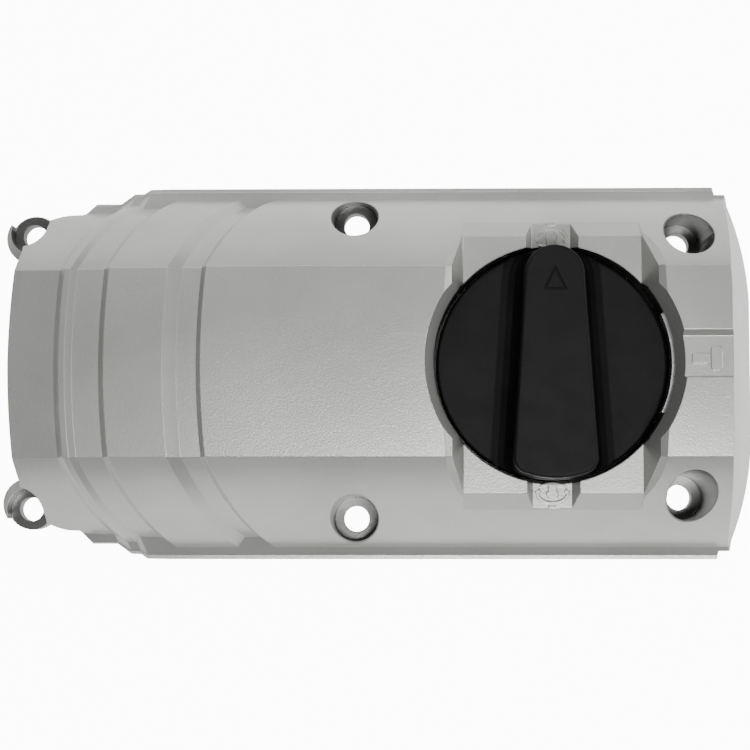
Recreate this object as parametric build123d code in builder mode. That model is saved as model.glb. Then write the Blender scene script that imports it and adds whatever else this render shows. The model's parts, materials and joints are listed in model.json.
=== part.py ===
from build123d import *
from math import atan, degrees, hypot
import os

# Die-cast gear-case cover with a sunken rotary mode selector, and the selector
# mechanism that hangs under it: spindle, crank, detent, shift slide and fork.
# Millimetres. +X runs from the stepped nose to the rear end, +Z is outwards,
# and Z = 0 is the mating flange. The origin is the middle of the flange.

os.makedirs("parts", exist_ok=True)

# ---- Cover: overall shape ---------------------------------------------------
LIP_HALF_WIDTH = 50.3
LIP_HEIGHT = 2.0
FOOT_HALF_WIDTH = 49.2
BARREL_HALF_WIDTH = 46.9
VALLEY_HALF_WIDTH = 44.2
LEDGE_SLOPE = 0.84
BARREL_BULGE = 0.066
CREASE_Y = 24.0
CREASE_DROP = 0.4
ROOF_Z = 42.0
REAR_X = 100.1
REAR_CORNER_X = 94.5
REAR_LEAN = 0.267
NOSE_X = -94.8
WALL = 3.4
BARREL_WALL = 3.9
REAR_WALL = 4.2
RIM = 5.0
STEP_BOW = 1.2
LOFT_GAP = 0.02
TALL = 50.0

# ---- Cover: screw holes -----------------------------------------------------
SCREW_CLEARANCE_R = 3.4
COUNTERBORE_R = 5.8
COUNTERBORE_DRAFT = 1.3
SEAT_Z = 5.0
PILLAR_R = 9.0
MID_SCREW = (-6.2, 39.5)
REAR_SCREW = (79.8, 33.8)
LUG_SCREW = (-93.5, 36.9)
LUG_CLEARANCE_R = 3.2
LUG_COUNTERBORE_R = 5.4
LUG_OPEN_Y = 2.0
LUG_CENTRE = (-93.2, 35.5)
LUG_R = 6.9
LUG_Z = 10.5
LUG_WALL = 3.0

# ---- Cover: selector pit and pads -------------------------------------------
KNOB_X = 44.7
PIT_R = 30.6
PIT_FLOOR_Z = 18.0
PIT_FLOOR_THICKNESS = 3.0
PIT_WALL = 3.3
CONE_Z = 35.3
CONE_MOUTH_R = 32.9
PAD_Z = 30.5
PAD_HALF_WIDTH = 22.9
PAD_STEEP_HALF_WIDTH = 26.0
PAD_STEEP_Z = 40.8
PAD_MOUTH_HALF_WIDTH = 28.4
PAD_EDGE_Y = 33.0
PAD_FOOT_Y = 37.5
PAD_FOOT_Z = 25.1
PAD_SLANT = (3.6, 8.8, 9.9)
PAD_SLANT_REACH = 1.45
PAD_SLANT_DEPTH = 6.0
PAD_END_SPREAD = 4.0
CUT_OVERLAP = 0.01
ICON_SLOT_Z = 26.0
ICON_SLOT_HALF_WIDTH = 5.05
ICON_SLOT_MOUTH = 6.75
ICON_SLOT_Y = 35.0
ICON_SLOT_LENGTH = 14.0
PAD_THICKNESS = 3.5
SIDE_PAD_X = 76.2
SIDE_PAD_Z = 40.6
SIDE_PAD_EDGES = (-4.0, 6.2)
SIDE_PAD_SLOPES = (-0.4, 1.8)
SIDE_PAD_START = 4.0
SIDE_PAD_LENGTH = 30.0
SIDE_PAD_TOP_Z = 42.2
MARK_HEIGHT = 0.35
TURN_MARK_Y = 33.0
TURN_MARK_R = (4.3, 2.9)
TURN_MARK_LINE = 0.8
TURN_MARK_GAP = (9.0, 1.4)
TURN_MARK_GAP_Y = 31.9
TURN_MARK_ARROW = [(3.0, 32.8), (4.6, 32.8), (3.4, 31.7)]
BIT_MARK_R = (1.5, 1.6)
BIT_MARK_SHANK = (2.2, 2.6)
BIT_MARK_TIP = (2.2, 0.8)
BIT_MARK_TIP_Y = 36.6
HAMMER_Y = 0.45
HAMMER_SHAFT_X = 80.95
HAMMER_SHAFT = (4.3, 2.6, 0.4)
HAMMER_HEAD_X = 84.9
HAMMER_HEAD = (2.8, 6.1, 0.8)
BOSS_R = 9.3
BOSS_TOP_Z = 20.8
BOSS_BOTTOM_Z = 12.1

# ---- Selector ---------------------------------------------------------------
KNOB_R = 29.7
KNOB_EDGE_ROUND = 0.8
KNOB_BOTTOM_Z = 18.8
KNOB_DISC_Z = 27.0
GRIP_Z = 40.5
GRIP_REACH = 29.4
GRIP_TIP_R = 7.6
GRIP_TAIL_Y = -24.0
GRIP_TAIL_HALF_WIDTH = 10.65
GRIP_TAIL_CORNER = [(0.5, 2.2), (2.3, 3.9)]
INSERT_R = 6.0
INSERT_TOP_Z = 33.0
SPINDLE_R = 4.0
BUSH_BORE_R = 4.04
BUSH_R = 6.0
BUSH_CHAMFER = 0.2
SPINDLE_TOP_Z = 27.0
SPINDLE_FLAT = 3.1
FLAT_CUT = (12.0, 5.0)
CRANK_R = 13.0
CRANK_TOP_Z = 11.9
CRANK_BOTTOM_Z = 8.4
CRANK_THROW = 5.2
CRANK_CHAMFER = 0.4
CRANK_PIN_R = 2.0
CRANK_PIN_BOTTOM_Z = 2.4
ROLLER_R = 3.5
KNOB_WALL = 2.4
GRIP_EDGE_ROUND = 0.8
GRIP_ROOT_Z = KNOB_DISC_Z - KNOB_EDGE_ROUND
# The grip's sides flare into the disc: each row is a height and how far the outline has grown
GRIP_FLARE = [(33.5, 0.0), (30.4, 0.7), (28.5, 1.9), (27.5, 3.5), (KNOB_DISC_Z, 5.3)]
HUB_R = 8.4
HUB_POCKET_R = 10.2
HUB_POCKET_Z = 22.9
POINTER_TIP_Y = 24.1
POINTER_BASE_Y = 18.0
POINTER_HALF_WIDTH = 3.0
POINTER_LINE = 0.45
POINTER_DEPTH = 0.3
SEAL_SEAT_R = 3.0
SEAL_SEAT_Z = 16.5
CIRCLIP_SEAT_R = 3.4
CIRCLIP_Z = 21.5
CIRCLIP_THICKNESS = 0.6
PIN_SEAT_R = 1.55
PIN_CLIP_Z = 2.8
PIN_CLIP_THICKNESS = 0.5
KNOB_SCREW_HEAD_Z = 12.0
KNOB_SCREW_TOP_Z = 31.5

# ---- Shift slide ------------------------------------------------------------
SLIDE_BOTTOM_Z = 3.6
SLIDE_TOP_Z = 7.6
SLIDE_START_X = -4.7
SLIDE_END_X = 76.0
SLIDE_HALF_WIDTH = 13.0
SLIDE_TAIL_HALF_WIDTH = 8.0
SLIDE_NECK_LENGTH = 14.0
SLIDE_WIDE_FROM = -22.0
SLIDE_WIDE_TO = 10.0
SLIDE_TAIL_FROM = 20.0
TRAVEL = 2 * CRANK_THROW
# Over half a turn the crank strays this share of its throw from an even rate
CRANK_STRAY = 0.2105
ROLLER_PLAY = 0.15
ROLLER_SLOT_HALF = ROLLER_R + CRANK_STRAY * CRANK_THROW + ROLLER_PLAY
ROLLER_SLOT_END_PLAY = 0.6
GUIDE_X = (22.0, 67.0)
GUIDE_SPIGOT_R = 3.1
GUIDE_SLOT_HALF = 3.2
GUIDE_BOSS_R = 5.0
RISER_HALF_WIDTH = 10.0
RISER_THICKNESS = 4.0
RISER_TOP_Z = 27.4
RISER_CORNER_R = 2.0
RIVET_R = 1.5
rivet_places = [(6.5, 23.5), (-6.5, 23.5)]
FORK_THICKNESS = 4.0
FORK_END_Z = 0.8
FORK_PAD_HEIGHT = 7.0
FORK_PAD_SEAT_Y = 22.8
FORK_INNER_R = 21.5
FORK_OUTER_R = 28.0
FORK_PAD_THICKNESS = 3.5
FORK_PAD_OVERHANG = 1.2
RIVET_HEAD_R = 2.6
RIVET_HEAD = 0.9
RIVET_TAIL = 0.4

# ---- Guides, detent spring, seal and clip -----------------------------------
FIT_GAP = 0.02
SMALL_SCREW_R = 1.5
SMALL_HEAD_R = 2.75
GUIDE_BOSS_Z = 8.0
GUIDE_SPIGOT_Z = 3.3
GUIDE_SCREW_TOP_Z = 12.0
GUIDE_WASHER_R = 5.5
GUIDE_WASHER_Z = 2.6
GUIDE_HEAD_Z = 0.5
SPRING_Y = -22.0
SPRING_BOSS_R = 3.5
SPRING_TOP_Z = 13.0
SPRING_THICKNESS = 0.5
SPRING_WIDTH = 5.0
SPRING_TIP_Y = -11.4
SPRING_SCREW_TOP_Z = 16.4
SPRING_NOSE_R = 1.25
SEAL_INSET = 1.9
SEAL_WIDTH = 1.4
SEAL_HEIGHT = 1.2
SEAL_SIDE_GAP = 0.1
SEAL_TOP_GAP = 0.05
CLIP_INNER_R = 30.05
CLIP_OUTER_R = 31.1
CLIP_BOTTOM_Z = 24.5
CLIP_TOP_Z = 33.0
CLIP_HALF_ANGLE = 24.5
CLIP_GROOVE_GAP = 0.05
CLIP_GROOVE_OVERRUN = 0.5
CLIP_GROOVE_END = 0.2


def station(x, lean, crown, base, foot, lip, bow, inset):
    """One closed cross-section wire of the cover, bowed in plan and leaning back.

    x is where the section crosses the crown and lean is how far it moves along +X for
    each millimetre down. base, foot and lip are half-widths: the barrel's, the ledge's
    and the lip's. inset is (crown, base, lip), and sets the section in for the cavity.
    """
    top = crown - inset[0]
    crease = top - CREASE_DROP
    base_z = LIP_HEIGHT + LOFT_GAP + LEDGE_SLOPE * (foot - base)
    base_y = base - inset[1]
    rim = lip - inset[2]
    ledge = min(foot, rim - LOFT_GAP)
    run = base_y - CREASE_Y
    fall = crease - base_z
    bulge = BARREL_BULGE * hypot(run, fall)
    middle_y = (CREASE_Y + base_y) / 2 + bulge * fall / hypot(run, fall)
    middle_z = (crease + base_z) / 2 + bulge * run / hypot(run, fall)

    def at(y, z):
        """A point of the section, moved by its bow and its lean."""
        bowed = bow * min(abs(y) / CREASE_Y, 1.0) ** 2
        return (x + bowed + lean * (top - z), y, z)

    edges = []
    for sign in (1, -1):
        side = [(rim, 0.0), (rim, LIP_HEIGHT), (ledge, LIP_HEIGHT + LOFT_GAP), (base_y, base_z)]
        points = [at(sign * y, z) for y, z in side]
        edges += [Line(a, b) for a, b in zip(points, points[1:])]
        edges.append(
            ThreePointArc(points[-1], at(sign * middle_y, middle_z), at(sign * CREASE_Y, crease))
        )
    edges.append(ThreePointArc(at(CREASE_Y, crease), at(0, top), at(-CREASE_Y, crease)))
    edges.append(Line(at(rim, 0.0), at(-rim, 0.0)))
    return Wire(edges)


# Each row: crown x, lean, crown z, barrel, ledge and lip half-widths, bow. Rear end first.
STATIONS = [
    (112.0, 0.0, ROOF_Z, BARREL_HALF_WIDTH, FOOT_HALF_WIDTH, LIP_HALF_WIDTH, 0.0),
    (-44.5, 0.395, ROOF_Z, BARREL_HALF_WIDTH, FOOT_HALF_WIDTH, LIP_HALF_WIDTH, STEP_BOW),
    (-45.8, 0.395, 38.8, VALLEY_HALF_WIDTH, FOOT_HALF_WIDTH, LIP_HALF_WIDTH, STEP_BOW),
    (-50.9, 0.420, 38.8, VALLEY_HALF_WIDTH, FOOT_HALF_WIDTH, LIP_HALF_WIDTH, STEP_BOW),
    (-54.4, 0.420, 39.8, BARREL_HALF_WIDTH, FOOT_HALF_WIDTH, LIP_HALF_WIDTH, STEP_BOW),
    (-69.3, 0.382, 39.3, BARREL_HALF_WIDTH, FOOT_HALF_WIDTH, LIP_HALF_WIDTH, STEP_BOW),
    (-70.9, 0.382, 36.4, VALLEY_HALF_WIDTH, FOOT_HALF_WIDTH, LIP_HALF_WIDTH, STEP_BOW),
    (-77.8, 0.413, 36.2, 44.1, 49.1, 50.2, STEP_BOW),
    (-79.5, 0.400, 37.0, 45.6, 48.2, 49.0, STEP_BOW),
    (-81.1, 0.370, 36.9, 45.5, 48.1, 48.9, STEP_BOW),
    (-82.7, 0.335, 34.4, 43.4, 45.7, 46.2, STEP_BOW),
    (-106.0, 0.0, 32.2, 43.1, 45.5, 46.2, 0.0),
]


def shell_solid(inset):
    """The cover's long stepped form, set in for the cavity."""
    return Solid.make_loft([station(*row, inset) for row in STATIONS], ruled=True)


# The base's outline, and the rear end's, which is swept up at a lean
rear_arc_points = [(REAR_X, 19.0), (98.7, 31.0), (REAR_CORNER_X, 45.2)]
side_points = [
    (REAR_CORNER_X, 48.1),
    (90.6, 48.1),
    (90.2, LIP_HALF_WIDTH + 0.1),
    (-62.8, LIP_HALF_WIDTH + 0.1),
    (-64.4, 49.0),
    (-67.4, 49.0),
    (-71.1, 46.2),
    (-77.4, 46.2),
    (-80.4, 42.7),
    (-83.0, 42.6),
]
nose_corner_points = [side_points[-1], (-90.3, 38.6), (-92.6, 30.0)]
nose_arc_points = [nose_corner_points[-1], (-94.2, 15.0), (NOSE_X, 0.0)]
clear_of_side = 60.0
clear_of_nose = -120.0

with BuildSketch() as outline:
    with BuildLine():
        Line((REAR_X, 0.0), rear_arc_points[0])
        ThreePointArc(*rear_arc_points)
        Polyline(rear_arc_points[-1], *side_points)
        ThreePointArc(*nose_corner_points)
        ThreePointArc(*nose_arc_points)
        mirror(about=Plane.XZ)
    make_face()

with BuildSketch() as rear_mask:
    with BuildLine():
        Line((REAR_X, 0.0), rear_arc_points[0])
        ThreePointArc(*rear_arc_points)
        Polyline(
            rear_arc_points[-1],
            (92.0, clear_of_side),
            (clear_of_nose, clear_of_side),
            (clear_of_nose, 0.0),
        )
        mirror(about=Plane.XZ)
    make_face()

rear_direction = Vector(-REAR_LEAN, 0, 1).normalized()
rear_length = TALL / rear_direction.Z


def ring(outer, inner, low, high, x=0.0, y=0.0, mode=Mode.ADD):
    """A round sleeve, or a plain disc where inner is 0, between two heights."""
    with BuildSketch(Plane.XY.offset(low)) as disc:
        with Locations((x, y)):
            Circle(outer)
            if inner:
                Circle(inner, mode=Mode.SUBTRACT)
    extrude(disc.sketch, amount=high - low, mode=mode)


def finish(piece, name):
    """Label a finished piece and write it out."""
    piece.part.label = name
    export_step(piece.part, f"parts/{name}.step")


def screw_places(hole):
    """The two places of a screw pair, either side of the centre line."""
    return [(hole[0], hole[1]), (hole[0], -hole[1])]


knob_axis = Axis((KNOB_X, 0, 0), (0, 0, 1))


def clip_corners(gap):
    """Corners of the clip's section, grown by the gap of its groove."""
    inner = KNOB_X + (CLIP_INNER_R if not gap else PIT_R - CLIP_GROOVE_OVERRUN)
    outer = KNOB_X + CLIP_OUTER_R + gap
    low = CLIP_BOTTOM_Z - gap
    high = CLIP_TOP_Z + gap
    return [(inner, low), (outer, low), (outer, high), (inner, high)]


# ---- Raised pictograms ------------------------------------------------------
# A bit between the ends of a turning arrow, one either side of the pit, and a hammer
with BuildSketch(Plane.XY.offset(ICON_SLOT_Z)) as turn_mark:
    for side in (1, -1):
        with Locations((KNOB_X, side * TURN_MARK_Y)):
            Ellipse(*TURN_MARK_R)
            Ellipse(*[radius - TURN_MARK_LINE for radius in TURN_MARK_R], mode=Mode.SUBTRACT)
            Ellipse(*BIT_MARK_R)
        with Locations((KNOB_X, side * TURN_MARK_GAP_Y)):
            Rectangle(*TURN_MARK_GAP, mode=Mode.SUBTRACT)
            Rectangle(*BIT_MARK_SHANK)
        for end in (1, -1):
            with BuildLine():
                Polyline(*[(KNOB_X + end * x, side * y) for x, y in TURN_MARK_ARROW], close=True)
            make_face()
        with Locations((KNOB_X, side * BIT_MARK_TIP_Y)):
            Rectangle(*BIT_MARK_TIP)

with BuildSketch(Plane.XY.offset(SIDE_PAD_Z)) as hammer_mark:
    with Locations((HAMMER_SHAFT_X, HAMMER_Y)):
        RectangleRounded(*HAMMER_SHAFT)
    with Locations((HAMMER_HEAD_X, HAMMER_Y)):
        RectangleRounded(*HAMMER_HEAD)

# ---- Gear cover -------------------------------------------------------------
with BuildPart() as envelope:
    add(shell_solid((0.0, 0.0, 0.0)))
    with BuildSketch():
        add(outline.sketch)
    extrude(amount=TALL, mode=Mode.INTERSECT)
    with BuildSketch():
        add(rear_mask.sketch)
    extrude(amount=rear_length, dir=rear_direction, mode=Mode.INTERSECT)

with BuildPart() as cavity:
    add(shell_solid((WALL, BARREL_WALL, RIM)))
    with BuildSketch():
        offset(outline.sketch, amount=-RIM)
    extrude(amount=TALL, mode=Mode.INTERSECT)
    with BuildSketch(Plane.XY.move(Location((-REAR_WALL, 0, 0)))):
        add(rear_mask.sketch)
    extrude(amount=rear_length, dir=rear_direction, mode=Mode.INTERSECT)

with BuildPart() as bosses:
    ring(PIT_R + PIT_WALL, 0.0, PIT_FLOOR_Z - PIT_FLOOR_THICKNESS, TALL, KNOB_X)
    for half_width, floor in ((PAD_MOUTH_HALF_WIDTH, PAD_Z), (ICON_SLOT_MOUTH, ICON_SLOT_Z)):
        with BuildSketch(Plane.XY.offset(floor - PAD_THICKNESS)):
            with Locations((KNOB_X, 0)):
                Rectangle(2 * (half_width + PAD_THICKNESS), 2 * TALL)
        extrude(amount=TALL - floor)
    for hole in (MID_SCREW, REAR_SCREW):
        for x, y in screw_places(hole):
            ring(PILLAR_R, 0.0, 0.0, TALL, x, y)
    for x, y in screw_places(LUG_SCREW):
        ring(LUG_COUNTERBORE_R + LUG_WALL, 0.0, 0.0, TALL, x, y)
    add(envelope.part, mode=Mode.INTERSECT)

with BuildSketch(Plane.YZ.offset(SIDE_PAD_X - SIDE_PAD_START)) as side_pad:
    with BuildLine():
        south, north = SIDE_PAD_EDGES
        south_slope, north_slope = SIDE_PAD_SLOPES
        Polyline(
            (south, SIDE_PAD_Z),
            (north, SIDE_PAD_Z),
            (north + north_slope, SIDE_PAD_TOP_Z),
            (north + north_slope, TALL),
            (south + south_slope, TALL),
            (south + south_slope, ROOF_Z),
            close=True,
        )
    make_face()

with BuildSketch(Plane.XZ) as pad_profile:
    with BuildLine():
        Polyline(
            (KNOB_X, PAD_Z),
            (KNOB_X + PAD_HALF_WIDTH, PAD_Z),
            (KNOB_X + PAD_STEEP_HALF_WIDTH, PAD_STEEP_Z),
            (KNOB_X + PAD_MOUTH_HALF_WIDTH, ROOF_Z),
            (KNOB_X + PAD_MOUTH_HALF_WIDTH, TALL),
            (KNOB_X, TALL),
        )
        mirror(about=Plane.YZ.offset(KNOB_X))
    make_face()


def slant_cut(across, along):
    """The pad's soft upper edge, carried on down the barrel's side at one corner."""
    low = (KNOB_X + across * PAD_STEEP_HALF_WIDTH, PAD_STEEP_Z)
    high = (KNOB_X + across * (2 * PAD_MOUTH_HALF_WIDTH - PAD_STEEP_HALF_WIDTH),
            2 * ROOF_Z - PAD_STEEP_Z)
    above = [(x, z + PAD_SLANT_DEPTH) for x, z in (high, low)]
    slant = Vector(-across * PAD_SLANT[0], along * PAD_SLANT[1], -PAD_SLANT[2])
    with BuildSketch(Plane.XZ.offset(-along * CREASE_Y)) as wedge:
        with BuildLine():
            Polyline(low, high, *above, close=True)
        make_face()
    reach = PAD_SLANT_REACH * slant.length
    extrude(wedge.sketch, amount=reach, dir=slant.normalized(), mode=Mode.SUBTRACT)


with BuildPart() as gear_cover:
    add(envelope.part)
    add(cavity.part, mode=Mode.SUBTRACT)
    add(bosses.part)
    for x, y in screw_places(LUG_CENTRE):
        ring(LUG_R, 0.0, 0.0, LUG_Z, x, y)
    # The selector's boss, the guide bosses with their spigots, and the spring's boss
    ring(BOSS_R, 0.0, BOSS_BOTTOM_Z, PIT_FLOOR_Z, KNOB_X)
    for x in GUIDE_X:
        ring(GUIDE_BOSS_R, 0.0, GUIDE_BOSS_Z, PIT_FLOOR_Z - 1.0, x)
        ring(GUIDE_SPIGOT_R, 0.0, GUIDE_SPIGOT_Z, GUIDE_BOSS_Z, x)
    ring(SPRING_BOSS_R, 0.0, SPRING_TOP_Z, PIT_FLOOR_Z - 1.0, KNOB_X, SPRING_Y)
    # Pads and pit, cut from the outside
    extrude(pad_profile.sketch, amount=CREASE_Y, both=True, mode=Mode.SUBTRACT)
    with BuildSketch(Plane.XZ):
        with BuildLine():
            reach = PAD_HALF_WIDTH + (TALL - PAD_Z) * (
                (PAD_STEEP_HALF_WIDTH - PAD_HALF_WIDTH) / (PAD_STEEP_Z - PAD_Z)
            )
            Polyline(
                (KNOB_X - PAD_HALF_WIDTH, PAD_Z),
                (KNOB_X + PAD_HALF_WIDTH, PAD_Z),
                (KNOB_X + reach, TALL),
                (KNOB_X - reach, TALL),
                close=True,
            )
        make_face()
    extrude(amount=PAD_EDGE_Y, both=True, mode=Mode.SUBTRACT)
    for across in (1, -1):
        for along in (1, -1):
            slant_cut(across, along)
    with BuildSketch(Plane.YZ.offset(KNOB_X)):
        for side in (1, -1):
            with BuildLine():
                Polyline(
                    (side * (PAD_EDGE_Y - CUT_OVERLAP), PAD_Z),
                    (side * PAD_FOOT_Y, PAD_FOOT_Z),
                    (side * (PAD_FOOT_Y + PAD_END_SPREAD), TALL),
                    (side * (PAD_EDGE_Y - CUT_OVERLAP), TALL),
                    close=True,
                )
            make_face()
    extrude(amount=PAD_HALF_WIDTH, both=True, mode=Mode.SUBTRACT)
    ring(PIT_R, 0.0, PIT_FLOOR_Z, TALL, KNOB_X, mode=Mode.SUBTRACT)
    ring(BOSS_R, 0.0, PIT_FLOOR_Z, BOSS_TOP_Z, KNOB_X)
    with Locations((KNOB_X, 0, CONE_Z)):
        Cone(
            PIT_R,
            PIT_R + (CONE_MOUTH_R - PIT_R) * (TALL - CONE_Z) / (ROOF_Z - CONE_Z),
            TALL - CONE_Z,
            align=(Align.CENTER, Align.CENTER, Align.MIN),
            mode=Mode.SUBTRACT,
        )
    with BuildSketch(Plane.XY.offset(ICON_SLOT_Z)):
        with Locations((KNOB_X, ICON_SLOT_Y), (KNOB_X, -ICON_SLOT_Y)):
            Rectangle(2 * ICON_SLOT_HALF_WIDTH, ICON_SLOT_LENGTH)
    slot_draft = degrees(atan((ICON_SLOT_MOUTH - ICON_SLOT_HALF_WIDTH) / (PAD_Z - ICON_SLOT_Z)))
    extrude(amount=PAD_Z - ICON_SLOT_Z + 0.5, taper=-slot_draft, mode=Mode.SUBTRACT)
    extrude(side_pad.sketch, amount=SIDE_PAD_LENGTH, mode=Mode.SUBTRACT)
    # Raised pictograms on the three pads
    extrude(turn_mark.sketch, amount=MARK_HEIGHT)
    extrude(hammer_mark.sketch, amount=MARK_HEIGHT)
    # Groove that holds the sheet-steel clip
    with BuildSketch(Plane.XZ) as clip_groove:
        with BuildLine():
            Polyline(*clip_corners(CLIP_GROOVE_GAP), close=True)
        make_face()
    revolve(
        clip_groove.sketch.rotate(knob_axis, -CLIP_HALF_ANGLE - CLIP_GROOVE_END),
        axis=knob_axis,
        revolution_arc=2 * (CLIP_HALF_ANGLE + CLIP_GROOVE_END),
        mode=Mode.SUBTRACT,
    )
    # Bores of the bush and of the guide and spring screws
    ring(BUSH_R + FIT_GAP, 0.0, 0.0, TALL, KNOB_X, mode=Mode.SUBTRACT)
    for x in GUIDE_X:
        ring(SMALL_SCREW_R + FIT_GAP, 0.0, 0.0, GUIDE_SCREW_TOP_Z + 0.5, x, mode=Mode.SUBTRACT)
    ring(SMALL_SCREW_R + FIT_GAP, 0.0, 0.0, SPRING_SCREW_TOP_Z + 0.4, KNOB_X, SPRING_Y, Mode.SUBTRACT)
    # Groove of the flange seal
    with BuildSketch():
        offset(outline.sketch, amount=-SEAL_INSET + SEAL_SIDE_GAP)
        offset(outline.sketch, amount=-SEAL_INSET - SEAL_WIDTH - SEAL_SIDE_GAP, mode=Mode.SUBTRACT)
    extrude(amount=SEAL_HEIGHT + SEAL_TOP_GAP, mode=Mode.SUBTRACT)
    # Screw holes, with drafted counterbores; the lugs' are open to the outside
    for hole in (MID_SCREW, REAR_SCREW):
        for x, y in screw_places(hole):
            ring(SCREW_CLEARANCE_R, 0.0, 0.0, TALL, x, y, Mode.SUBTRACT)
            with BuildSketch(Plane.XY.offset(SEAT_Z)):
                with Locations((x, y)):
                    Circle(COUNTERBORE_R)
            extrude(amount=TALL - SEAT_Z, taper=-COUNTERBORE_DRAFT, mode=Mode.SUBTRACT)
    for x, y in screw_places(LUG_SCREW):
        ring(LUG_CLEARANCE_R, 0.0, 0.0, TALL, x, y, Mode.SUBTRACT)
        outward = LUG_OPEN_Y if y > 0 else -LUG_OPEN_Y
        ring(LUG_COUNTERBORE_R, 0.0, SEAT_Z, TALL, x, y, Mode.SUBTRACT)
        ring(LUG_COUNTERBORE_R, 0.0, SEAT_Z, TALL, x, y + outward, Mode.SUBTRACT)
finish(gear_cover, "gear_cover")

# ---- Flange seal ------------------------------------------------------------
with BuildPart() as flange_seal:
    with BuildSketch():
        offset(outline.sketch, amount=-SEAL_INSET)
        offset(outline.sketch, amount=-SEAL_INSET - SEAL_WIDTH, mode=Mode.SUBTRACT)
    extrude(amount=SEAL_HEIGHT)
finish(flange_seal, "flange_seal")

# ---- Selector bush ----------------------------------------------------------
with BuildPart() as selector_bush:
    ring(BUSH_R, BUSH_BORE_R, BOSS_BOTTOM_Z, BOSS_TOP_Z, KNOB_X)
    chamfer(selector_bush.edges().group_by(Axis.Z)[-1], BUSH_CHAMFER)
finish(selector_bush, "selector_bush")

# ---- Sheet-steel clip in the pit wall ---------------------------------------
with BuildPart() as knob_clip:
    with BuildSketch(Plane.XZ) as clip_section:
        with BuildLine():
            Polyline(*clip_corners(0.0), close=True)
        make_face()
    revolve(
        clip_section.sketch.rotate(knob_axis, -CLIP_HALF_ANGLE),
        axis=knob_axis,
        revolution_arc=2 * CLIP_HALF_ANGLE,
    )
finish(knob_clip, "knob_clip")

# ---- Detent leaf spring and its screw ---------------------------------------
with BuildPart() as detent_spring:
    with BuildSketch(Plane.XY.offset(SPRING_TOP_Z - SPRING_THICKNESS)):
        with BuildLine():
            Polyline(
                (KNOB_X - SPRING_WIDTH / 2, SPRING_Y - 4.0),
                (KNOB_X + SPRING_WIDTH / 2, SPRING_Y - 4.0),
                (KNOB_X + SPRING_WIDTH / 2, SPRING_TIP_Y - 4.0),
                (KNOB_X + SPRING_NOSE_R, SPRING_TIP_Y + SPRING_NOSE_R),
                (KNOB_X - SPRING_NOSE_R, SPRING_TIP_Y + SPRING_NOSE_R),
                (KNOB_X - SPRING_WIDTH / 2, SPRING_TIP_Y - 4.0),
                close=True,
            )
        make_face()
        with Locations((KNOB_X, SPRING_Y)):
            Circle(SMALL_SCREW_R + 0.1, mode=Mode.SUBTRACT)
    extrude(amount=SPRING_THICKNESS)
    with Locations((KNOB_X, SPRING_TIP_Y, SPRING_TOP_Z - SPRING_THICKNESS)):
        Sphere(
            SPRING_NOSE_R,
            arc_size1=-90,
            arc_size2=0,
            align=(Align.CENTER, Align.CENTER, Align.MAX),
        )
finish(detent_spring, "detent_spring")


def small_screw(x, y, head_low, head_high, top, socket_r=1.25):
    """A small socket-head screw, head down, with its hexagon recess."""
    ring(SMALL_HEAD_R, 0.0, head_low, head_high, x, y)
    ring(SMALL_SCREW_R, 0.0, head_high, top, x, y)
    with BuildSketch(Plane.XY.offset(head_low)) as socket:
        with Locations((x, y)):
            RegularPolygon(socket_r, 6, major_radius=False)
    extrude(socket.sketch, amount=0.6 * (head_high - head_low), mode=Mode.SUBTRACT)


with BuildPart() as detent_spring_screw:
    head_top = SPRING_TOP_Z - SPRING_THICKNESS
    small_screw(KNOB_X, SPRING_Y, head_top - 2.0, head_top, SPRING_SCREW_TOP_Z)
finish(detent_spring_screw, "detent_spring_screw")

# ---- Guide screws and washers -----------------------------------------------
with BuildPart() as guide_screws:
    for x in GUIDE_X:
        small_screw(x, 0.0, GUIDE_HEAD_Z, GUIDE_WASHER_Z, GUIDE_SCREW_TOP_Z)
finish(guide_screws, "guide_screws")

with BuildPart() as guide_washers:
    for x in GUIDE_X:
        ring(GUIDE_WASHER_R, SMALL_SCREW_R + 0.1, GUIDE_WASHER_Z, GUIDE_SPIGOT_Z, x)
finish(guide_washers, "guide_washers")

# ---- Selector knob ----------------------------------------------------------
with BuildSketch(Plane.XY.offset(GRIP_Z)) as grip_top:
    with BuildLine():
        tip_y = GRIP_REACH - GRIP_TIP_R
        ThreePointArc(
            (KNOB_X + GRIP_TIP_R, tip_y), (KNOB_X, GRIP_REACH), (KNOB_X - GRIP_TIP_R, tip_y)
        )
        tail = [(GRIP_TAIL_HALF_WIDTH, GRIP_TAIL_Y)]
        tail += [(GRIP_TAIL_HALF_WIDTH - x, GRIP_TAIL_Y - y) for x, y in GRIP_TAIL_CORNER]
        left_tail = [(KNOB_X - x, y) for x, y in tail]
        right_tail = [(KNOB_X + x, y) for x, y in reversed(tail)]
        Line((KNOB_X - GRIP_TIP_R, tip_y), left_tail[0])
        ThreePointArc(*left_tail)
        ThreePointArc(left_tail[-1], (KNOB_X, -GRIP_REACH), right_tail[0])
        ThreePointArc(*right_tail)
        Line(right_tail[-1], (KNOB_X + GRIP_TIP_R, tip_y))
    make_face()

with BuildPart() as knob_core:
    with BuildSketch(Plane.XY.offset(KNOB_BOTTOM_Z)):
        offset(grip_top.sketch.moved(Location((0, 0, -GRIP_Z))), amount=-KNOB_WALL)
    extrude(amount=GRIP_Z - KNOB_BOTTOM_Z - KNOB_WALL)

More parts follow.
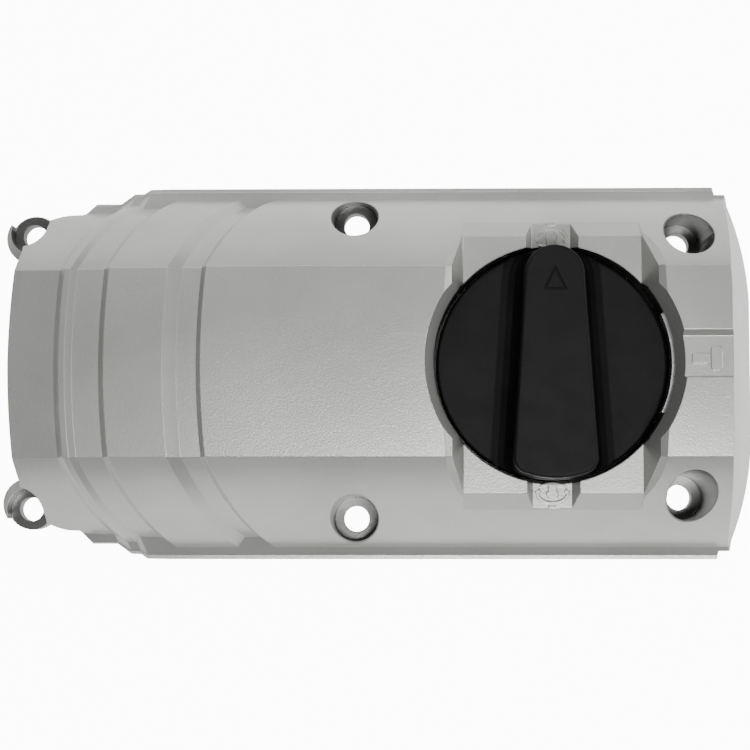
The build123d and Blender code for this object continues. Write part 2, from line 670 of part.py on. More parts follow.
with BuildPart() as knob_grip:
    extrude(grip_top.sketch, amount=GRIP_ROOT_Z - GRIP_Z)
    fillet(knob_grip.edges().group_by(Axis.Z)[-1], GRIP_EDGE_ROUND)
    flat_top = grip_top.sketch.moved(Location((0, 0, -GRIP_Z)))
    for (high, grown), (low, wider) in zip(GRIP_FLARE, GRIP_FLARE[1:]):
        with BuildSketch(Plane.XY.offset(high)):
            if grown:
                offset(flat_top, amount=grown)
            else:
                add(flat_top)
        extrude(amount=low - high, taper=-degrees(atan((wider - grown) / (high - low))))
    with BuildSketch(Plane.XY.offset(GRIP_ROOT_Z)):
        with Locations((KNOB_X, 0)):
            Circle(KNOB_R)
    extrude(amount=GRIP_Z, mode=Mode.INTERSECT)

with BuildPart() as selector_knob:
    ring(KNOB_R, 0.0, KNOB_BOTTOM_Z, KNOB_DISC_Z, KNOB_X)
    fillet(selector_knob.edges().group_by(Axis.Z)[-1], KNOB_EDGE_ROUND)
    add(knob_grip.part)
    # Cored out from below, round a hub for the insert
    ring(KNOB_R - KNOB_WALL, HUB_POCKET_R + KNOB_WALL, KNOB_BOTTOM_Z,
         KNOB_DISC_Z - KNOB_WALL, KNOB_X, mode=Mode.SUBTRACT)
    add(knob_core.part, mode=Mode.SUBTRACT)
    ring(HUB_R, 0.0, HUB_POCKET_Z, INSERT_TOP_Z + 2.0, KNOB_X)
    ring(HUB_POCKET_R, 0.0, KNOB_BOTTOM_Z, HUB_POCKET_Z, KNOB_X, mode=Mode.SUBTRACT)
    ring(INSERT_R + FIT_GAP, 0.0, HUB_POCKET_Z, INSERT_TOP_Z + FIT_GAP, KNOB_X, mode=Mode.SUBTRACT)
    # Pointer, engraved as an outline
    with BuildSketch(Plane.XY.offset(GRIP_Z - POINTER_DEPTH)) as pointer:
        with BuildLine():
            Polyline(
                (KNOB_X, POINTER_TIP_Y),
                (KNOB_X - POINTER_HALF_WIDTH, POINTER_BASE_Y),
                (KNOB_X + POINTER_HALF_WIDTH, POINTER_BASE_Y),
                close=True,
            )
        make_face()
        offset(amount=-POINTER_LINE, kind=Kind.INTERSECTION, mode=Mode.SUBTRACT)
    extrude(pointer.sketch, amount=1.0, mode=Mode.SUBTRACT)
finish(selector_knob, "selector_knob")

# ---- Brass insert moulded into the knob -------------------------------------
with BuildPart() as knob_insert:
    ring(INSERT_R, 0.0, HUB_POCKET_Z, INSERT_TOP_Z, KNOB_X)
    with BuildSketch(Plane.XY.offset(HUB_POCKET_Z)) as drive_socket:
        with Locations((KNOB_X, 0)):
            Circle(SPINDLE_R + FIT_GAP)
            with Locations((0, SPINDLE_FLAT + FLAT_CUT[1] / 2 + FIT_GAP)):
                Rectangle(*FLAT_CUT, mode=Mode.SUBTRACT)
    extrude(drive_socket.sketch, amount=SPINDLE_TOP_Z - HUB_POCKET_Z, mode=Mode.SUBTRACT)
    ring(SMALL_SCREW_R + FIT_GAP, 0.0, SPINDLE_TOP_Z, INSERT_TOP_Z - 0.8, KNOB_X, mode=Mode.SUBTRACT)
finish(knob_insert, "knob_insert")

# ---- Crank spindle ----------------------------------------------------------
with BuildPart() as selector_spindle:
    ring(CRANK_R, 0.0, CRANK_BOTTOM_Z, CRANK_TOP_Z, KNOB_X)
    chamfer(selector_spindle.edges(), CRANK_CHAMFER)
    ring(SPINDLE_R, 0.0, CRANK_TOP_Z, SPINDLE_TOP_Z, KNOB_X)
    with BuildSketch(Plane.XY.offset(HUB_POCKET_Z - 0.4)) as flat:
        with Locations((KNOB_X, SPINDLE_FLAT + FLAT_CUT[1] / 2)):
            Rectangle(*FLAT_CUT)
    extrude(flat.sketch, amount=TALL, mode=Mode.SUBTRACT)
    ring(SPINDLE_R + 1, SEAL_SEAT_R, SEAL_SEAT_Z - 0.75, SEAL_SEAT_Z + 0.75, KNOB_X, mode=Mode.SUBTRACT)
    ring(SPINDLE_R + 1, CIRCLIP_SEAT_R, CIRCLIP_Z, CIRCLIP_Z + CIRCLIP_THICKNESS, KNOB_X,
         mode=Mode.SUBTRACT)
    ring(SMALL_SCREW_R + 0.2, 0.0, CRANK_BOTTOM_Z, TALL, KNOB_X, mode=Mode.SUBTRACT)
    ring(SMALL_HEAD_R + 0.1, 0.0, CRANK_BOTTOM_Z, KNOB_SCREW_HEAD_Z, KNOB_X, mode=Mode.SUBTRACT)
    ring(CRANK_PIN_R + FIT_GAP, 0.0, CRANK_BOTTOM_Z, CRANK_TOP_Z, KNOB_X - CRANK_THROW,
         mode=Mode.SUBTRACT)
    with PolarLocations(-SPRING_TIP_Y, 3, start_angle=-90, angular_range=180, endpoint=True) as spots:
        dimple_places = [place.position for place in spots]
    for place in dimple_places:
        with Locations((KNOB_X + place.X, place.Y, SPRING_TOP_Z - SPRING_THICKNESS)):
            Sphere(SPRING_NOSE_R + 0.12, mode=Mode.SUBTRACT)
finish(selector_spindle, "selector_spindle")

with BuildPart() as crank_pin:
    ring(CRANK_PIN_R, 0.0, CRANK_PIN_BOTTOM_Z, CRANK_TOP_Z, KNOB_X - CRANK_THROW)
    ring(CRANK_PIN_R + 1, PIN_SEAT_R, PIN_CLIP_Z, PIN_CLIP_Z + PIN_CLIP_THICKNESS,
         KNOB_X - CRANK_THROW, mode=Mode.SUBTRACT)
finish(crank_pin, "crank_pin")

with BuildPart() as pin_roller:
    ring(ROLLER_R, CRANK_PIN_R + 0.05, PIN_CLIP_Z + PIN_CLIP_THICKNESS + 0.1, SLIDE_TOP_Z + 0.3,
         KNOB_X - CRANK_THROW)
finish(pin_roller, "pin_roller")


def open_ring(outer, inner, low, high, x, gap, mouth):
    """A retaining ring with a mouth cut out of one side."""
    ring(outer, inner, low, high, x)
    with BuildSketch(Plane.XY.offset(low)) as cut:
        with Locations((x + mouth * outer, 0)):
            Rectangle(2 * outer - 2 * gap, gap)
    extrude(cut.sketch, amount=high - low, mode=Mode.SUBTRACT)


with BuildPart() as pin_clip:
    open_ring(CRANK_PIN_R + 1.3, PIN_SEAT_R + FIT_GAP, PIN_CLIP_Z + FIT_GAP,
              PIN_CLIP_Z + PIN_CLIP_THICKNESS - FIT_GAP, KNOB_X - CRANK_THROW, 1.6, -1)
finish(pin_clip, "pin_clip")

with BuildPart() as spindle_circlip:
    open_ring(SPINDLE_R + 2.2, CIRCLIP_SEAT_R + FIT_GAP, CIRCLIP_Z + FIT_GAP,
              CIRCLIP_Z + CIRCLIP_THICKNESS - FIT_GAP, KNOB_X, 3.0, 1)
finish(spindle_circlip, "spindle_circlip")

with BuildPart() as wave_washer:
    ring(SPINDLE_R + 2.8, SPINDLE_R + 0.15, BOSS_TOP_Z + 0.05, CIRCLIP_Z, KNOB_X)
finish(wave_washer, "wave_washer")

with BuildPart() as spindle_o_ring:
    with BuildSketch(Plane.XZ):
        with Locations((KNOB_X + SEAL_SEAT_R + 0.51, SEAL_SEAT_Z)):
            Circle(0.49)
    revolve(axis=knob_axis)
finish(spindle_o_ring, "spindle_o_ring")

with BuildPart() as knob_screw:
    small_screw(KNOB_X, 0.0, KNOB_SCREW_HEAD_Z - 3.0, KNOB_SCREW_HEAD_Z, KNOB_SCREW_TOP_Z)
finish(knob_screw, "knob_screw")

# ---- Shift slide ------------------------------------------------------------
with BuildPart() as shift_slide:
    with BuildSketch(Plane.XY.offset(SLIDE_BOTTOM_Z)):
        with BuildLine():
            Polyline(
                (SLIDE_START_X, -RISER_HALF_WIDTH),
                (SLIDE_START_X, RISER_HALF_WIDTH),
                (SLIDE_START_X + SLIDE_NECK_LENGTH, RISER_HALF_WIDTH),
                (KNOB_X + SLIDE_WIDE_FROM, SLIDE_HALF_WIDTH),
                (KNOB_X + SLIDE_WIDE_TO, SLIDE_HALF_WIDTH),
                (KNOB_X + SLIDE_TAIL_FROM, SLIDE_TAIL_HALF_WIDTH),
                (SLIDE_END_X, SLIDE_TAIL_HALF_WIDTH),
                (SLIDE_END_X, -SLIDE_TAIL_HALF_WIDTH),
                (KNOB_X + SLIDE_TAIL_FROM, -SLIDE_TAIL_HALF_WIDTH),
                (KNOB_X + SLIDE_WIDE_TO, -SLIDE_HALF_WIDTH),
                (KNOB_X + SLIDE_WIDE_FROM, -SLIDE_HALF_WIDTH),
                (SLIDE_START_X + SLIDE_NECK_LENGTH, -RISER_HALF_WIDTH),
                close=True,
            )
        make_face()
        for x in GUIDE_X:
            with Locations((x - TRAVEL / 2, 0)):
                SlotCenterToCenter(TRAVEL + 0.2, 2 * GUIDE_SLOT_HALF, mode=Mode.SUBTRACT)
        with Locations((KNOB_X - CRANK_THROW, 0)):
            Rectangle(
                2 * ROLLER_SLOT_HALF, 2 * (CRANK_THROW + ROLLER_R + ROLLER_SLOT_END_PLAY), mode=Mode.SUBTRACT
            )
    extrude(amount=SLIDE_TOP_Z - SLIDE_BOTTOM_Z)
    # Riser that carries the fork, with two rivet holes
    with BuildSketch(Plane.YZ.offset(SLIDE_START_X)) as riser:
        with Locations((0, (SLIDE_BOTTOM_Z + RISER_TOP_Z) / 2)):
            RectangleRounded(2 * RISER_HALF_WIDTH, RISER_TOP_Z - SLIDE_BOTTOM_Z, RISER_CORNER_R)
        with Locations((0, (SLIDE_BOTTOM_Z + SLIDE_TOP_Z) / 2)):
            Rectangle(2 * RISER_HALF_WIDTH, SLIDE_TOP_Z - SLIDE_BOTTOM_Z)
        with Locations(*rivet_places):
            Circle(RIVET_R + FIT_GAP, mode=Mode.SUBTRACT)
    extrude(riser.sketch, amount=RISER_THICKNESS)
finish(shift_slide, "shift_slide")

# ---- Shift fork, its rivets and its pads ------------------------------------
with BuildPart() as shift_fork:
    with BuildSketch(Plane.YZ.offset(SLIDE_START_X - FORK_THICKNESS)) as fork_form:
        Circle(FORK_OUTER_R)
        Circle(FORK_INNER_R, mode=Mode.SUBTRACT)
        with Locations((0, FORK_END_Z - FORK_OUTER_R)):
            Rectangle(2 * FORK_OUTER_R + 1, 2 * FORK_OUTER_R, mode=Mode.SUBTRACT)
        with Locations((0, FORK_END_Z + FORK_PAD_HEIGHT / 2)):
            Rectangle(2 * FORK_PAD_SEAT_Y, FORK_PAD_HEIGHT, mode=Mode.SUBTRACT)
        with Locations(*rivet_places):
            Circle(RIVET_R + FIT_GAP, mode=Mode.SUBTRACT)
    extrude(fork_form.sketch, amount=FORK_THICKNESS)
finish(shift_fork, "shift_fork")

with BuildPart() as fork_pads:
    with BuildSketch(Plane.YZ.offset(SLIDE_START_X - FORK_THICKNESS - FORK_PAD_OVERHANG)) as pad_form:
        for side in (1, -1):
            middle = side * (FORK_PAD_SEAT_Y - FORK_PAD_THICKNESS / 2)
            with Locations((middle, FORK_END_Z + FORK_PAD_HEIGHT / 2)):
                Rectangle(FORK_PAD_THICKNESS, FORK_PAD_HEIGHT - 0.1)
    extrude(pad_form.sketch, amount=FORK_THICKNESS + 2 * FORK_PAD_OVERHANG)
finish(fork_pads, "fork_pads")

with BuildPart() as fork_rivets:
    left = SLIDE_START_X - FORK_THICKNESS
    right = SLIDE_START_X + RISER_THICKNESS
    for start, reach, radius in (
        (left - RIVET_HEAD, RIVET_HEAD, RIVET_HEAD_R),
        (left, right - left, RIVET_R),
        (right, RIVET_TAIL, RIVET_HEAD_R),
    ):
        with BuildSketch(Plane.YZ.offset(start)) as disc:
            with Locations(*rivet_places):
                Circle(radius)
        extrude(disc.sketch, amount=reach)
finish(fork_rivets, "fork_rivets")
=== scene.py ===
"""Looks of a die-cast gear-case cover with a sunken rotary selector knob.

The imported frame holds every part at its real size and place. This script gives each
part its finish and sets up the studio.
"""

import json
import logging
from dataclasses import dataclass
from enum import Enum
from typing import Any, Iterable

import bmesh
import bpy
from mathutils import Matrix, Vector

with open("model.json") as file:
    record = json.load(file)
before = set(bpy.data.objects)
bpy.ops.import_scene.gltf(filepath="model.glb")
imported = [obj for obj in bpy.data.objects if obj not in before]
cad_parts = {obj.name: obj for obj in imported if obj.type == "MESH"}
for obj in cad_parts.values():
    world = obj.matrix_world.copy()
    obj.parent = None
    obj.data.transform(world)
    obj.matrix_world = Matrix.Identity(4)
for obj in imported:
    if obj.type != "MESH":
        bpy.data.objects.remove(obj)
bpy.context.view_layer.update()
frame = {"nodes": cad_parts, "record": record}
MM = 0.001
LOG = logging.getLogger("cover")

# Width of the stains on bare metal in millimetres, and the noise levels they span
STAIN_WIDTH = 5.0
STAIN_LIMITS = (0.3, 0.7)
# Sockets of the colour mix node, several of which share a name
MIX_FACTOR, MIX_FIRST, MIX_SECOND, MIX_RESULT = 0, 6, 7, 2

# A machined place, painted dark partly as cut metal and partly as shade: x, y, radius, lowest and
# highest height above the flange
Place = tuple[float, float, float, float, float]


class Side(Enum):
    """Where a studio light stands round the object."""

    OVERHEAD = "overhead"
    NORTH = "north"
    EAST = "east"


def srgb(code: str) -> tuple[float, float, float, float]:
    """Turn an sRGB hex colour into a linear colour with full opacity.

    Args:
        code: Six hex digits with a leading hash.

    Returns:
        Linear red, green, blue and alpha.
    """
    values = [int(code[i : i + 2], 16) / 255 for i in (1, 3, 5)]
    linear = [v / 12.92 if v <= 0.04045 else ((v + 0.055) / 1.055) ** 2.4 for v in values]
    return (*linear, 1.0)


def per_size(millimetres: float) -> float:
    """Texture scale at which one feature is about this many millimetres across."""
    return 1.0 / (millimetres * MM)


def add_node(
    tree: bpy.types.NodeTree,
    kind: str,
    settings: dict[str, Any] | None = None,
    inputs: dict[Any, Any] | None = None,
) -> bpy.types.Node:
    """Add one node, set its properties and fill or link its inputs.

    Args:
        tree: Node tree that takes the node.
        kind: Blender's name of the node type.
        settings: Node properties and their values.
        inputs: Input names or numbers, each with a value or with a socket to link.

    Returns:
        The new node.
    """
    node = tree.nodes.new(kind)
    for name, value in (settings or {}).items():
        setattr(node, name, value)
    for name, value in (inputs or {}).items():
        if isinstance(value, bpy.types.NodeSocket):
            tree.links.new(value, node.inputs[name])
        else:
            node.inputs[name].default_value = value
    return node


def new_material(name: str) -> tuple[bpy.types.Material, bpy.types.NodeTree]:
    """Make an empty node material.

    Args:
        name: Name of the real material and its process.

    Returns:
        The material and its node tree.
    """
    material = bpy.data.materials.new(name)
    material.use_nodes = True
    material.node_tree.nodes.clear()
    return material, material.node_tree

def patches(
    tree: bpy.types.NodeTree,
    size: float,
    limits: tuple[float, float],
    values: tuple[float, float] = (0.0, 1.0),
    detail: float = 3.0,
) -> bpy.types.NodeSocket:
    """Value that drifts over the surface in soft patches.

    Args:
        tree: Node tree that takes the nodes.
        size: Width of a patch in millimetres.
        limits: Noise levels between which the value changes.
        values: Value at the first level and at the second.
        detail: Octaves of finer noise.

    Returns:
        The value's socket.
    """
    place = add_node(tree, "ShaderNodeTexCoord").outputs["Object"]
    cloud = add_node(
        tree,
        "ShaderNodeTexNoise",
        inputs={"Vector": place, "Scale": per_size(size), "Detail": detail},
    )
    level = add_node(
        tree,
        "ShaderNodeMapRange",
        inputs={"Value": cloud.outputs["Fac"], "From Min": limits[0], "From Max": limits[1],
                "To Min": values[0], "To Max": values[1]},
    )
    return level.outputs["Result"]


def close_material(tree: bpy.types.NodeTree, inputs: dict[str, Any]) -> None:
    """Close a material with a principled shader that has these inputs."""
    shader = add_node(tree, "ShaderNodeBsdfPrincipled", inputs=inputs)
    add_node(tree, "ShaderNodeOutputMaterial", inputs={"Surface": shader.outputs[0]})


@dataclass(frozen=True)
class Relief:
    """Fine relief of a surface and the rounding of its edges, in millimetres."""

    size: float
    depth: float
    edge: float
    detail: float = 2.0
    rough: float = 0.6
    stretch: tuple[float, float, float] = (1.0, 1.0, 1.0)
    edge_samples: int = 6

    def normal(self, tree: bpy.types.NodeTree) -> bpy.types.NodeSocket:
        """Add the relief to a material.

        Args:
            tree: Node tree that takes the nodes.

        Returns:
            The normal's socket.
        """
        place = add_node(tree, "ShaderNodeTexCoord").outputs["Object"]
        turned = add_node(
            tree, "ShaderNodeMapping", inputs={"Vector": place, "Scale": self.stretch}
        )
        lines = add_node(
            tree,
            "ShaderNodeTexNoise",
            inputs={"Vector": turned.outputs[0], "Scale": per_size(self.size),
                    "Detail": self.detail, "Roughness": self.rough},
        )
        inputs: dict[Any, Any] = {
            "Height": lines.outputs["Fac"], "Distance": self.depth * MM, "Strength": 1.0
        }
        if self.edge:
            edges = add_node(
                tree,
                "ShaderNodeBevel",
                {"samples": self.edge_samples},
                {"Radius": self.edge * MM},
            )
            inputs["Normal"] = edges.outputs["Normal"]
        return add_node(tree, "ShaderNodeBump", inputs=inputs).outputs["Normal"]


@dataclass(frozen=True)
class CastSilverPaint:
    """Die-cast aluminium under satin silver-grey paint, darker where it was machined, with painted
    shade in the pit and screw holes.
    """

    # Satin paint over a casting looks pale grey and even, with a faint cloudiness from
    # the spray and a soft sparkle of flakes. The mating face is cut after painting, which
    # leaves darker, duller metal. The pit's wall and the screw holes take the same dark,
    # dull tone, which there is partly unpainted metal and partly painted shade.
    name: str = "die_cast_aluminium_satin_silver_paint"
    light: str = "#BBBCB8"
    dark: str = "#AFB0AC"
    flake: str = "#D8D8D6"
    # Dark, dull tone of cut metal, which in the pit and screw holes is partly painted shade
    bare_and_shade: str = "#6C6D6B"
    cloud_width: float = 34.0
    cloud_limits: tuple[float, float] = (0.35, 0.65)
    # Real flakes and grit are near 0.1 mm, too fine to show, so they are drawn wider
    grit_width: float = 0.55
    flake_limits: tuple[float, float] = (0.55, 0.8)
    flake_share: float = 0.22
    grit_depth: float = 0.03
    edge: float = 0.32
    metallic: tuple[float, float] = (0.62, 0.95)
    roughness: tuple[float, float] = (0.31, 0.3)
    face_depth: float = 0.05

    def build(self, bare_and_shaded_places: Iterable[Place]) -> bpy.types.Material:
        """Make the material.

        Args:
            bare_and_shaded_places: Machined places in metres, whose dark tone is partly painted
                shade.

        Returns:
            The finished material.
        """
        material, tree = new_material(self.name)
        clouds = patches(tree, self.cloud_width, self.cloud_limits)
        flakes = patches(
            tree, self.grit_width, self.flake_limits, (0.0, self.flake_share), detail=1.0
        )
        bare_and_shade = self.bare_and_shade_mask(tree, bare_and_shaded_places)
        colour: Any = srgb(self.dark)
        # The last layer paints the dark cut-metal tone, which in the recesses is partly painted
        # shade
        for factor, tone in ((clouds, self.light), (flakes, self.flake), (bare_and_shade, self.bare_and_shade)):
            layer = add_node(
                tree,
                "ShaderNodeMix",
                {"data_type": "RGBA"},
                {MIX_FACTOR: factor, MIX_FIRST: colour, MIX_SECOND: srgb(tone)},
            )
            colour = layer.outputs[MIX_RESULT]
        inputs = {
            "Base Color": colour,
            "Normal": Relief(self.grit_width, self.grit_depth, self.edge).normal(tree),
        }
        for socket, (painted, cut) in (
            ("Metallic", self.metallic), ("Roughness", self.roughness)
        ):
            level = add_node(
                tree,
                "ShaderNodeMapRange",
                inputs={"Value": bare_and_shade, "To Min": painted, "To Max": cut},
            )
            inputs[socket] = level.outputs["Result"]
        close_material(tree, inputs)
        return material

    def bare_and_shade_mask(
        self, tree: bpy.types.NodeTree, places: Iterable[Place]
    ) -> bpy.types.NodeSocket:
        """Factor that is 1 where the casting was machined, which in the pit and screw holes also
        paints shade.

        Args:
            tree: Node tree that takes the nodes.
            places: Machined places in metres.

        Returns:
            places: Machined places in metres, whose dark tone is partly painted shade.
        """
        point = add_node(tree, "ShaderNodeTexCoord").outputs["Object"]
        parts = add_node(tree, "ShaderNodeSeparateXYZ", inputs={0: point})
        across, along, height = parts.outputs
        flat = add_node(tree, "ShaderNodeCombineXYZ", inputs={0: across, 1: along})
        mask = add_node(
            tree,
            "ShaderNodeMath",
            {"operation": "LESS_THAN"},
            {0: height, 1: self.face_depth * MM},
        )
        for x, y, radius, lowest, highest in places:
            away = add_node(
                tree,
                "ShaderNodeVectorMath",
                {"operation": "DISTANCE"},
                {0: flat.outputs[0], 1: (x, y, 0.0)},
            )
            inside = add_node(
                tree,
                "ShaderNodeMath",
                {"operation": "LESS_THAN"},
                {0: away.outputs["Value"], 1: radius},
            )
            for operation, limit in (("LESS_THAN", highest), ("GREATER_THAN", lowest)):
                within = add_node(
                    tree, "ShaderNodeMath", {"operation": operation}, {0: height, 1: limit}
                )
                inside = add_node(
                    tree,
                    "ShaderNodeMath",
                    {"operation": "MULTIPLY"},
                    {0: inside.outputs[0], 1: within.outputs[0]},
                )
            mask = add_node(
                tree,
                "ShaderNodeMath",
                {"operation": "MAXIMUM"},
                {0: mask.outputs[0], 1: inside.outputs[0]},
            )
        return mask.outputs[0]


@dataclass(frozen=True)
class Blotched:
    """A finish in two close tones, with a fine relief and a roughness that varies."""

    name: str
    dark: str
    light: str
    relief: Relief
    roughness: tuple[float, float]
    width: float
    limits: tuple[float, float]
    shine_width: float
    shine_detail: float = 3.0
    shine_limits: tuple[float, float] = (0.3, 0.7)
    fixed: tuple[tuple[str, float], ...] = ()

    def build(self) -> bpy.types.Material:
        """Make the material.

        Returns:
            The finished material.
        """
        material, tree = new_material(self.name)
        colour = add_node(
            tree,
            "ShaderNodeMix",
            {"data_type": "RGBA"},
            {
                MIX_FACTOR: patches(tree, self.width, self.limits),
                MIX_FIRST: srgb(self.dark),
                MIX_SECOND: srgb(self.light),
            },
        )
        inputs = {
            "Base Color": colour.outputs[MIX_RESULT],
            "Normal": self.relief.normal(tree),
            **dict(self.fixed),
        }
        low, high = self.roughness
        if low == high:
            inputs["Roughness"] = low
        else:
            inputs["Roughness"] = patches(
                tree, self.shine_width, self.shine_limits, self.roughness, self.shine_detail
            )
        close_material(tree, inputs)
        return material


def worked_metal(
    name: str, dark: str, light: str, roughness: tuple[float, float], relief: Relief
) -> Blotched:
    """A bare or plated metal with fine tool lines and light stains.

    Args:
        name: Name of the metal and its process.
        dark: Hex colour of the stains.
        light: Hex colour between them.
        roughness: Roughness on the stains and between them.
        relief: Tool lines and edges.

    Returns:
        The finish.
    """
    return Blotched(
        name,
        dark,
        light,
        relief,
        roughness,
        width=STAIN_WIDTH,
        limits=STAIN_LIMITS,
        shine_width=STAIN_WIDTH,
        shine_limits=STAIN_LIMITS,
        fixed=(("Metallic", 1.0),),
    )


# Real tool lines are a few hundredths of a millimetre apart, so they are drawn wider
TOOL_LINES = Relief(0.25, 0.004, 0.15, detail=1.0, rough=0.5)
ROLLING_LINES = Relief(0.25, 0.004, 0.15, detail=1.0, rough=0.5, stretch=(1.0, 1.0, 0.1))
SINTER_PORES = Relief(0.4, 0.012, 0.15, detail=1.0, rough=0.5)

# Near black and matt, with a fine even pitting that breaks up every highlight. The
# real pits are near 0.1 mm, too fine to show, so they are drawn wider.
SPARK_TEXTURED_PLASTIC = Blotched(
    "moulded_glass_filled_polyamide",
    "#090909",
    "#0D0D0D",
    Relief(0.35, 0.02, 0.45),
    (0.5, 0.6),
    width=12.0,
    limits=(0.35, 0.65),
    shine_width=6.0,
    shine_detail=2.0,
    fixed=(("IOR", 1.53), ("Specular IOR Level", 0.15)),
)
# Black and dull, with a faint grey bloom on its skin
MOULDED_RUBBER = Blotched(
    "moulded_nitrile_rubber",
    "#161616",
    "#2A2A2A",
    Relief(0.3, 0.01, 0.0, rough=0.5),
    (0.72, 0.72),
    width=3.0,
    limits=(0.4, 0.8),
    shine_width=3.0,
    fixed=(("IOR", 1.52),),
)
# Bright and almost mirror-like, with long faint lines from the rolls
ROLLED_SPRING = worked_metal(
    "cold_rolled_spring_steel", "#DCDCDC", "#F2F2F2", (0.18, 0.3), ROLLING_LINES
)
# Mid grey with a clean satin gleam
GROUND_STEEL = worked_metal(
    "turned_and_ground_steel", "#989896", "#B5B5B3", (0.28, 0.42), TOOL_LINES
)
# Duller grey with rounded edges, as it comes out of the tumbling drum
PRESSED_STEEL = worked_metal(
    "pressed_tumbled_steel", "#8C8C8A", "#A6A6A4", (0.36, 0.5), TOOL_LINES
)
# Pale and slightly blue, brighter than bare steel
ZINC_STEEL = worked_metal("zinc_plated_steel", "#B3B5B8", "#CBCDD0", (0.25, 0.4), TOOL_LINES)
# Charcoal with a soft oily gleam
BLACK_OXIDE = worked_metal("black_oxide_steel", "#333335", "#4A4A4C", (0.32, 0.46), TOOL_LINES)
# Warm yellow and shiny
MACHINED_BRASS = worked_metal("machined_brass", "#C49A50", "#D9B36A", (0.22, 0.36), TOOL_LINES)
# Brown and open-pored, so it hardly shines
SINTERED_BRONZE = worked_metal(
    "sintered_bronze", "#9C6F45", "#B98A5C", (0.42, 0.6), SINTER_PORES
)


def finish(kind: Blotched) -> bpy.types.Material:
    """The material of a finish that several parts share, made on its first use."""
    return bpy.data.materials.get(kind.name) or kind.build()


def dress(names: Iterable[str], material: bpy.types.Material) -> None:
    """Give frame parts a material in every slot.

    Args:
        names: Names of the parts.
        material: Finish that they take.
    """
    for name in names:
        slots = frame["nodes"][name].material_slots
        for slot in slots:
            slot.material = material
        LOG.info("%s: %s", name, material.name)


def mounts() -> dict[str, dict[str, Any]]:
    """The record's mounts by name."""
    return {mount["name"]: mount for mount in frame["record"]["mounts"]}


@dataclass
class Cover:
    """The casting with everything that is fixed to it."""

    # Reach of the dark tone in the screw holes and the pit, which is partly cut metal and partly
    # painted shade
    bore_height: float = 40.0 * MM
    seat_widths: tuple[tuple[str, float], ...] = (
        ("mid_screws", 2.95 * MM),
        ("rear_screws", 3.2 * MM),
        ("lug_screws", 2.3 * MM),
    )
    pit_radius: float = 30.85 * MM
    pit_floor: float = 17.9 * MM
    pit_height: float = 34.5 * MM

    def machined_and_shaded_places(self) -> list[Place]:
        """Find the pit's wall and the screw holes, which are turned after casting and are painted
        dark partly as cut metal and partly as shade.

        Returns:
            Every machined place in metres.
        """
        turn = frame["record"]["behaviour"]["joints"][0]["pos_m"]
        seats = [(turn[0], turn[1], self.pit_radius, self.pit_floor, self.pit_height)]
        for name, width in self.seat_widths:
            mount = mounts()[name]
            half = mount["dims"]["spacing_y_mm"] * MM / 2
            radius = mount["dims"]["hole_r_mm"] * MM + width
            for y in (half, -half):
                seats.append((mount["pos_m"][0], y, radius, 0.0, self.bore_height))
        return seats

    def build(self) -> None:
        """Dress the casting, its seal, bush, clip, spring and guides."""
        dress(["gear_cover"], CastSilverPaint().build(self.machined_and_shaded_places()))
        dress(["flange_seal"], finish(MOULDED_RUBBER))
        dress(["selector_bush"], finish(SINTERED_BRONZE))
        dress(["knob_clip", "detent_spring"], finish(ROLLED_SPRING))
        dress(["detent_spring_screw", "guide_screws", "guide_washers"], finish(ZINC_STEEL))


@dataclass
class Selector:
    """The knob with its spindle, crank, seal and retaining rings."""

    def build(self) -> None:
        """Dress the knob and everything that turns with it."""
        dress(["selector_knob"], finish(SPARK_TEXTURED_PLASTIC))
        dress(["knob_insert"], finish(MACHINED_BRASS))
        dress(["selector_spindle", "crank_pin", "pin_roller"], finish(GROUND_STEEL))
        dress(["pin_clip", "spindle_circlip"], finish(BLACK_OXIDE))
        dress(["wave_washer"], finish(ROLLED_SPRING))
        dress(["knob_screw"], finish(ZINC_STEEL))
        dress(["spindle_o_ring"], finish(MOULDED_RUBBER))


@dataclass
class ShiftSlide:
    """The slide under the cover with its riveted fork and bronze pads."""

    def build(self) -> None:
        """Dress the slide, the fork, its rivets and its pads."""
        dress(["shift_slide"], finish(PRESSED_STEEL))
        dress(["shift_fork"], finish(GROUND_STEEL))
        dress(["fork_rivets"], finish(ZINC_STEEL))
        dress(["fork_pads"], finish(SINTERED_BRONZE))


@dataclass(frozen=True)
class SoftBox:
    """A square studio light, with its place and edge in metres and its power in watts."""

    side: Side
    place: tuple[float, float, float]
    size: float
    power: float

    def build(self) -> None:
        """Hang the light so that it points at the object."""
        data = bpy.data.lights.new(f"soft_box_{self.side.value}", "AREA")
        data.shape = "SQUARE"
        data.size = self.size
        data.energy = self.power
        light = bpy.data.objects.new(data.name, data)
        bpy.context.scene.collection.objects.link(light)
        light.location = self.place
        light.rotation_euler = (-Vector(self.place)).to_track_quat("-Z", "Y").to_euler()


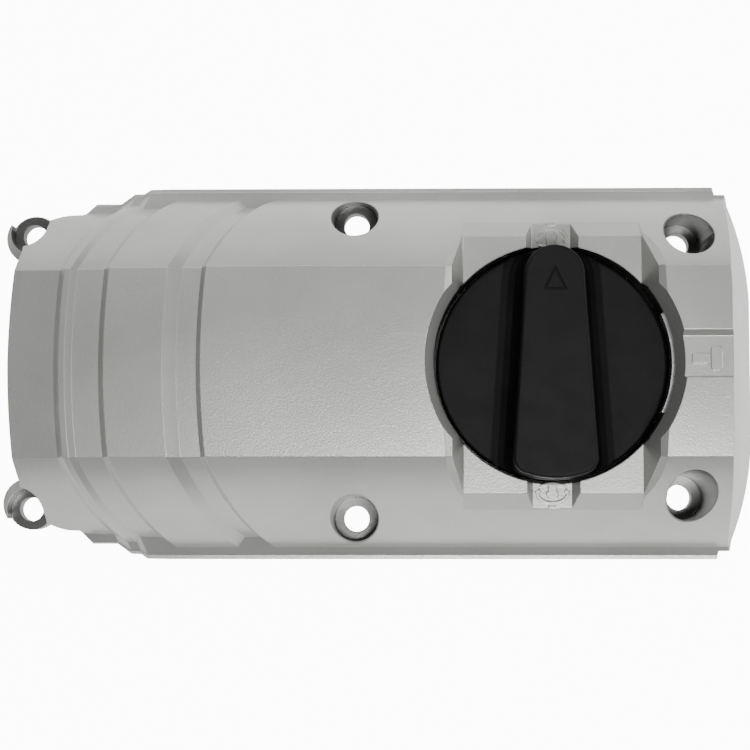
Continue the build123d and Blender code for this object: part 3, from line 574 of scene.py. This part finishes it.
@dataclass
class Studio:
    """Pale floor, soft boxes and the camera."""

    lights: tuple[SoftBox, ...] = (
        SoftBox(Side.OVERHEAD, (0.12, -0.34, 1.1), 0.34, 9.8),
        SoftBox(Side.NORTH, (-0.05, 0.75, 0.95), 0.7, 6.0),
        SoftBox(Side.EAST, (1.2, 0.1, 0.4), 0.6, 9.0),
    )
    floor_size: float = 12.0
    floor_drop: float = -0.3 * MM
    eye: tuple[float, float, float] = (0.0095, -0.0405, 0.527)
    aim: tuple[float, float, float] = (-0.0014, -0.0005, 0.0)
    lens: float = 93.4
    nearest: float = 0.01
    world: float = 0.115
    glow: float = 12.0
    bounce: float = 0.85

    def build(self) -> None:
        """Make the floor, the lights and the camera."""
        self.build_floor()
        self.build_world()
        for light in self.lights:
            light.build()
        self.build_camera()

    def build_floor(self) -> None:
        """Lay a plain white floor, fully lit to the lens and clear from underneath."""
        mesh = bpy.data.meshes.new("floor")
        shape = bmesh.new()
        bmesh.ops.create_grid(shape, x_segments=1, y_segments=1, size=self.floor_size / 2)
        shape.to_mesh(mesh)
        shape.free()
        floor = bpy.data.objects.new("floor", mesh)
        bpy.context.scene.collection.objects.link(floor)
        floor.location.z = self.floor_drop
        material, tree = new_material("matt_white_sweep")
        seen = add_node(tree, "ShaderNodeLightPath").outputs["Is Camera Ray"]
        strength = add_node(
            tree,
            "ShaderNodeMapRange",
            inputs={"Value": seen, "To Min": self.bounce, "To Max": self.glow},
        )
        paper = add_node(
            tree,
            "ShaderNodeBsdfPrincipled",
            inputs={"Base Color": srgb("#C8C8C8"), "Roughness": 0.9,
                    "Emission Color": srgb("#FFFFFF"),
                    "Emission Strength": strength.outputs["Result"]},
        )
        clear = add_node(tree, "ShaderNodeBsdfTransparent")
        under = add_node(tree, "ShaderNodeNewGeometry").outputs["Backfacing"]
        sheet = add_node(
            tree, "ShaderNodeMixShader", inputs={0: under, 1: paper.outputs[0], 2: clear.outputs[0]}
        )
        add_node(tree, "ShaderNodeOutputMaterial", inputs={"Surface": sheet.outputs[0]})
        mesh.materials.append(material)

    def build_world(self) -> None:
        """Fill the surroundings with even pale light."""
        world = bpy.data.worlds.new("studio")
        world.use_nodes = True
        background = world.node_tree.nodes["Background"]
        background.inputs["Color"].default_value = srgb("#FFFFFF")
        background.inputs["Strength"].default_value = self.world
        bpy.context.scene.world = world

    def build_camera(self) -> None:
        """Place the camera above the cover, looking down."""
        data = bpy.data.cameras.new("camera")
        data.lens = self.lens
        data.clip_start = self.nearest
        camera = bpy.data.objects.new("camera", data)
        bpy.context.scene.collection.objects.link(camera)
        camera.location = self.eye
        back = (Vector(self.eye) - Vector(self.aim)).normalized()
        right = Vector((0.0, 1.0, 0.0)).cross(back).normalized()
        turn = Matrix((right, back.cross(right), back)).transposed()
        camera.rotation_euler = turn.to_euler()
        bpy.context.scene.camera = camera


def main() -> None:
    """Build the studio and every sub-assembly in order."""
    logging.basicConfig(level=logging.INFO, format="%(message)s")
    Studio().build()
    for assembly in (Cover(), Selector(), ShiftSlide()):
        LOG.info("building %s", type(assembly).__name__)
        assembly.build()


if __name__ == "__main__":
    main()
